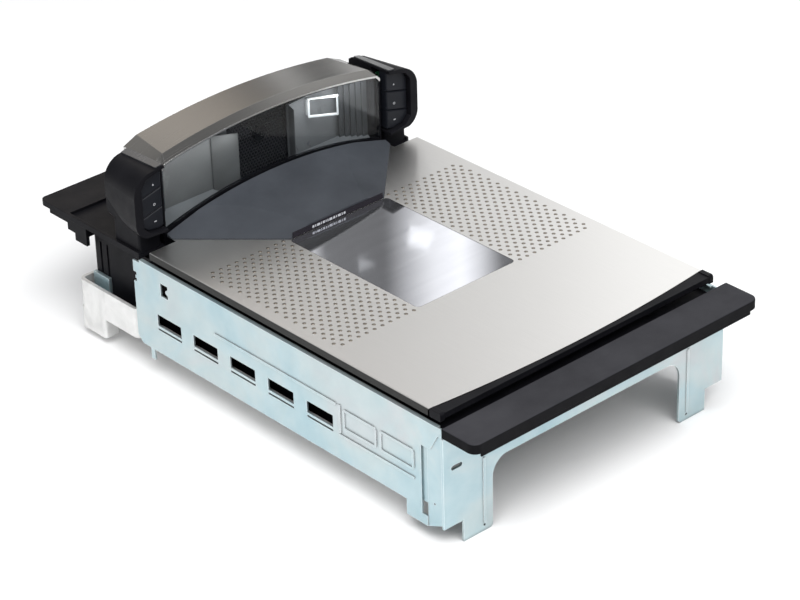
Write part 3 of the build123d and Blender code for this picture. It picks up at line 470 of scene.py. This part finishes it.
def add_ring_prism(bm, outer, inner, push):
    """A frame-shaped prism between two outlines with the same number of points."""
    count = len(outer)
    shift = Vector(push)
    rows = [[bm.verts.new(p) for p in outer],
            [bm.verts.new(p) for p in inner],
            [bm.verts.new(Vector(p) + shift) for p in inner],
            [bm.verts.new(Vector(p) + shift) for p in outer]]
    for first, second in ((0, 1), (1, 2), (2, 3), (3, 0)):
        for k in range(count):
            nxt = (k + 1) % count
            bm.faces.new((rows[first][k], rows[first][nxt], rows[second][nxt], rows[second][k]))


# ---------------------------------------------------------------- platter dimples

DIMPLE_PITCH_X = 7.85 * MM
DIMPLE_PITCH_Y = 5.36 * MM
DIMPLE_RADIUS = 1.65 * MM
DIMPLE_HEIGHT = 0.22 * MM
DIMPLE_SINK = 0.02 * MM
DIMPLE_ROWS = 29
DIMPLE_COLUMNS = 10
# first dimple of a field, from the window's near corner
DIMPLE_START_X, DIMPLE_START_Y = 4.6 * MM, -0.5 * MM


def platter_dimples(side):
    """Field of pressed dimples beside the scan window, in staggered rows."""
    window_low, window_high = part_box("window_glass")
    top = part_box("platter_plate")[1].z
    bm = bmesh.new()
    for row in range(DIMPLE_ROWS):
        start_x = window_high.x + DIMPLE_START_X + (DIMPLE_PITCH_X / 2 if row % 2 else 0.0)
        y = window_low.y + DIMPLE_START_Y + row * DIMPLE_PITCH_Y
        for column in range(DIMPLE_COLUMNS):
            x = start_x + column * DIMPLE_PITCH_X
            add_dome(bm, (side * x, y, top - DIMPLE_SINK), DIMPLE_RADIUS, DIMPLE_HEIGHT)
    name = "platter_dimples_" + ("right" if side > 0 else "left")
    smooth(finish_piece(name, bm, DIMPLE_SHADED_LOOK, "platter"))


for side in (-1, 1):
    platter_dimples(side)

# ---------------------------------------------------------------- tower interior


GRILLE_PITCH = 3.0 * MM
GRILLE_WALL = 0.455 * MM
GRILLE_THICKNESS = 0.7 * MM
GRILLE_STAND_OFF = 0.9 * MM


def upright_ring(x, y, z, radius, angles):
    """Points round a circle that faces the cashier."""
    return [(x + radius * math.cos(a), y, z + radius * math.sin(a)) for a in angles]


def tower_mesh():
    """Honeycomb grille in front of the tower's middle panel."""
    low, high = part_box("centre_baffle")
    pitch, y = GRILLE_PITCH, low.y - GRILLE_STAND_OFF
    row_step = pitch * math.sqrt(3) / 2
    cell_radius = pitch / math.sqrt(3)
    corners = turns(6, math.pi / 6)
    bm = bmesh.new()
    for row in range(int((high.z - low.z) / row_step)):
        z = low.z + row_step * (row + 0.5)
        for column in range(int((high.x - low.x) / pitch)):
            x = low.x + pitch * (column + (0.75 if row % 2 else 0.25))
            if low.x < x - pitch / 2 and x + pitch / 2 < high.x:
                add_ring_prism(bm, upright_ring(x, y, z, cell_radius, corners),
                               upright_ring(x, y, z, cell_radius - GRILLE_WALL, corners),
                               (0, GRILLE_THICKNESS, 0))
    finish_piece("tower_mesh", bm, MESH_LOOK, "base")


CHAMBER_BOTTOM, CHAMBER_TOP = 108.5 * MM, 165.5 * MM
CHAMBER_FRONT, CHAMBER_BACK = 133.5 * MM, 149.2 * MM
LINER_THICKNESS = 0.8 * MM
FLOOR_RISE = 10 * MM
BAND_COUNT = 5
BAND_STEP = 1.6 * MM
BAND_THICKNESS = 1.2 * MM
# the left chamber has a wide slanted panel and narrow bands, the right one the other way round
SLANT_WIDTH = {-1: 19 * MM, 1: 3 * MM}
BAND_WIDTH = {-1: 2.4 * MM, 1: 5.0 * MM}
SLANT_LOOK = {-1: CHAMBER_LIGHT, 1: CHAMBER_GREY}


def chamber_liner(side):
    """Panels round one tower chamber: slanted inner panel, sloping floor, folded bands at the outer end."""
    name = "chamber_liner_" + ("right" if side > 0 else "left")
    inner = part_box("centre_baffle")[1].x + 0.6 * MM
    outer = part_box("tower_housing")[1].x - 4.0 * MM
    low, high, front, back = CHAMBER_BOTTOM, CHAMBER_TOP, CHAMBER_FRONT, CHAMBER_BACK

    def panel(bm, outline, push):
        add_prism(bm, [(side * x, y, z) for x, y, z in outline], push)

    near, far, split = front + 4 * MM, back - 1 * MM, inner + SLANT_WIDTH[side]
    bm = bmesh.new()
    panel(bm, [(inner, near, low), (split, far, low), (split, far, high), (inner, near, high)],
          (0, LINER_THICKNESS, 0))
    finish_piece(name + "_slant", bm, SLANT_LOOK[side], "base")

    raised = low + FLOOR_RISE
    bm = bmesh.new()
    panel(bm, [(inner, front, low), (outer, front, low), (outer, back, raised), (inner, back, raised)],
          (0, 0, -LINER_THICKNESS))
    finish_piece(name + "_floor", bm, CHAMBER_GREY, "base")

    # each band comes nearer to the glass, towards the chamber's outer end
    bm = bmesh.new()
    for step in range(BAND_COUNT):
        start = outer - (BAND_COUNT - step) * BAND_WIDTH[side]
        end = start + BAND_WIDTH[side]
        y = back - (step + 1) * BAND_STEP
        panel(bm, [(start, y, low), (end, y, low), (end, y, high), (start, y, high)],
              (0, BAND_THICKNESS, 0))
    finish_piece(name + "_bands", bm, CHAMBER_DARK, "base")


tower_mesh()
for side in (-1, 1):
    chamber_liner(side)

# ---------------------------------------------------------------- marks on keys and riser

MARK_SIZE = 1.1 * MM
MARK_LIFT = 0.08 * MM
# a key's mark sits off the middle of its face: towards the tower, and low
MARK_SHIFT_IN, MARK_SHIFT_DOWN = 3.0 * MM, 1.6 * MM
MARK_RING_HOLE = 0.6
MARK_BAR_HALF_HEIGHT = 0.4

RISER_BAR_WIDTHS = (2.0, 1.0, 3.2, 1.0, 2.0, 1.0, 1.0, 3.2, 2.0, 1.0, 3.2, 1.0, 2.0)
RISER_BAR_GAP = 0.9 * MM
RISER_BAR_HALF_HEIGHT = 1.0 * MM
RISER_MARK_START = 20 * MM


def add_bar(bm, x0, x1, y, z0, z1):
    """A flat upright bar that stands proud of a face towards the cashier."""
    add_prism(bm, [(x0, y, z0), (x1, y, z0), (x1, y, z1), (x0, y, z1)], (0, -MARK_LIFT, 0))


def key_mark(node, kind):
    """Small generic symbol on a key's face: a bar, a ring or a triangle."""
    low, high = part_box(node)
    side = 1 if low.x > 0 else -1
    x = (low.x + high.x) / 2 - side * MARK_SHIFT_IN
    y, z = low.y, (low.z + high.z) / 2 - MARK_SHIFT_DOWN
    size = MARK_SIZE
    bm = bmesh.new()
    if kind == "ring":
        angles = turns(20)
        add_ring_prism(bm, upright_ring(x, y, z, size, angles),
                       upright_ring(x, y, z, MARK_RING_HOLE * size, angles), (0, -MARK_LIFT, 0))
    elif kind == "triangle":
        add_prism(bm, upright_ring(x, y, z, size, turns(3, math.pi / 2)), (0, -MARK_LIFT, 0))
    else:
        half = MARK_BAR_HALF_HEIGHT * size
        add_bar(bm, x - size, x + size, y, z - half, z + half)
    finish_piece(node + "_mark", bm, MARK_LOOK, node)


def riser_mark():
    """Generic mark on the riser's gloss band: a short row of upright bars, as on a bar code."""
    low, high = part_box("riser_band")
    middle = (low.z + high.z) / 2
    bottom, top = middle - RISER_BAR_HALF_HEIGHT, middle + RISER_BAR_HALF_HEIGHT
    bm = bmesh.new()
    x = low.x + RISER_MARK_START
    for width in RISER_BAR_WIDTHS:
        add_bar(bm, x, x + width * MM, low.y, bottom, top)
        x += width * MM + RISER_BAR_GAP
    finish_piece("riser_mark", bm, MARK_LOOK, "platter")


for end in ("left", "right"):
    for row, kind in (("upper", "triangle"), ("middle", "ring"), ("lower", "bar")):
        key_mark("button_" + row + "_" + end, kind)
riser_mark()

# ---------------------------------------------------------------- stage and light


FLOOR_HALF_WIDTH = 6.0
FLOOR_DROP = 0.2 * MM


def make_floor():
    """Plain pale floor, a hair below the feet."""
    bm = bmesh.new()
    bmesh.ops.create_grid(bm, x_segments=1, y_segments=1, size=FLOOR_HALF_WIDTH)
    mesh = bpy.data.meshes.new("floor")
    bm.to_mesh(mesh)
    bm.free()
    floor = bpy.data.objects.new("floor", mesh)
    floor.location.z = -FLOOR_DROP
    bpy.context.scene.collection.objects.link(floor)
    look = Look("floor_paper", Specular_IOR_Level=0.1, Roughness=0.9)
    paper = [(0.2, (0.95, 0.95, 0.95)), (0.8, (0.97, 0.97, 0.97))]
    look.colour(look.ramp(look.noise(3, detail=2.0), paper))
    mesh.materials.append(look.material)


def area_light(name, place, target, size, power):
    """Soft rectangular light that shines from a place towards a target."""
    data = bpy.data.lights.new(name, "AREA")
    data.shape = "RECTANGLE"
    data.size, data.size_y = size
    data.energy = power
    light = bpy.data.objects.new(name, data)
    light.location = place
    light.rotation_euler = (Vector(target) - Vector(place)).to_track_quat("-Z", "Y").to_euler()
    light.visible_camera = False
    bpy.context.scene.collection.objects.link(light)
    return light


# the cards stand where a level mirror sends the view from the camera
CARD_DISTANCE = 2.0
SMALL_CARD_DISTANCE = CARD_DISTANCE - 0.02
CARD_HALF_WIDTH, CARD_HALF_HEIGHT = 1.6, 1.1

# brightness of the large card across its width: metres to the right of its middle, grey, warmth
CARD_BANDS = [(-1.00, 0.70, 0.02), (-0.60, 1.30, 0.08), (-0.40, 0.95, 0.10), (-0.30, 0.45, 0.08),
              (-0.22, 0.20, 0.03), (-0.19, 1.30, 0.0), (-0.15, 1.60, 0.0), (-0.11, 0.20, 0.0),
              (-0.02, 0.16, 0.0), (0.05, 1.30, 0.0), (0.09, 1.60, 0.0), (0.115, 1.10, 0.0),
              (0.15, 0.15, 0.0), (0.18, 0.15, 0.0), (0.26, 1.50, 0.0), (0.60, 1.70, 0.0),
              (1.00, 0.75, 0.0)]

# small bright shapes in front of the card: corners to the right of and above the card's middle, metres
QUAD_CARD = [(0.010, -0.042), (0.040, -0.033), (0.052, -0.058), (0.016, -0.068)]
TRIANGLE_CARD = [(-0.061, -0.003), (-0.035, -0.014), (-0.061, -0.025)]


def away_from_camera():
    """Direction in which a level mirror sends the view, and the level direction across it."""
    sin_a, cos_a = math.sin(CAMERA_AZIMUTH), math.cos(CAMERA_AZIMUTH)
    sin_e, cos_e = math.sin(CAMERA_ELEVATION), math.cos(CAMERA_ELEVATION)
    return Vector((sin_a * cos_e, cos_a * cos_e, sin_e)), Vector((cos_a, -sin_a, 0))


def stage_card(name, outline, look, distance):
    """Studio card that shows only in the reflections of metal and glass; the outline is in metres."""
    away, level = away_from_camera()
    middle = sum(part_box("window_glass"), Vector()) / 2
    mesh = bpy.data.meshes.new(name)
    mesh.from_pydata([(x, y, 0) for x, y in outline], [], [tuple(range(len(outline)))])
    card = bpy.data.objects.new(name, mesh)
    card.matrix_world = Matrix.Translation(middle + away * distance) @ Matrix(
        (level, away.cross(level) * -1, away)).transposed().to_4x4()
    bpy.context.scene.collection.objects.link(card)
    mesh.materials.append(look.material)
    card.visible_camera = card.visible_diffuse = card.visible_shadow = card.visible_transmission = False


def glowing(name, strength):
    """Evenly lit card."""
    look = Look(name, Roughness=1.0, Base_Color=(0, 0, 0, 1), Emission_Strength=strength)
    look.link(look.ramp(look.noise(4), [(0.3, (0.94, 0.96, 0.96)), (0.7, (1, 1, 1))]),
              look.shader.inputs["Emission Color"])
    return look


def graded_card():
    """Large card whose brightness changes in bands across its width."""
    brightest = max(grey for _, grey, _ in CARD_BANDS)
    look = Look("card_paper", Roughness=1.0, Base_Color=(0, 0, 0, 1), Emission_Strength=brightest)
    across = look.node("SeparateXYZ")
    look.link(look.place, across.inputs[0])
    first, last = CARD_BANDS[0][0], CARD_BANDS[-1][0]
    share = look.spread(across.outputs["X"], 0.0, 1.0, first, last)
    stops = []
    for x, grey, warmth in CARD_BANDS:
        value = grey / brightest
        stops.append(((x - first) / (last - first), (value * (1 + warmth), value, value * (1 - warmth))))
    look.link(look.ramp(share, stops), look.shader.inputs["Emission Color"])
    w, h = CARD_HALF_WIDTH, CARD_HALF_HEIGHT
    stage_card("graded_card", [(-w, -h), (w, -h), (w, h), (-w, h)], look, CARD_DISTANCE)


def make_light():
    """Soft studio light: a pale world, one large overhead light, a weak fill and the tower's own lamps."""
    world = bpy.data.worlds.new("studio")
    bpy.context.scene.world = world
    world.use_nodes = True
    background = world.node_tree.nodes["Background"]
    background.inputs["Color"].default_value = (0.97, 0.98, 1.0, 1)
    background.inputs["Strength"].default_value = 0.42
    area_light("overhead", (-0.7, -1.2, 2.4), (-0.1, -0.3, 0), size=(3.2, 2.0), power=108)
    area_light("fill", (-1.6, -1.2, 0.9), (0, 0, 0.05), size=(1.4, 1.0), power=3)
    for side in (-1, 1):
        lamp = area_light("chamber_lamp", (side * 0.07, 0.1345, 0.1665), (side * 0.07, 0.150, 0.13),
                          size=(0.07, 0.003), power=0.018)
        lamp.visible_glossy = False
    graded_card()
    stage_card("quad_card", QUAD_CARD, glowing("quad_paper", 1.75), SMALL_CARD_DISTANCE)
    stage_card("triangle_card", TRIANGLE_CARD, glowing("triangle_paper", 0.55), SMALL_CARD_DISTANCE)
    bpy.context.scene.view_settings.view_transform = "Standard"


make_floor()
make_light()
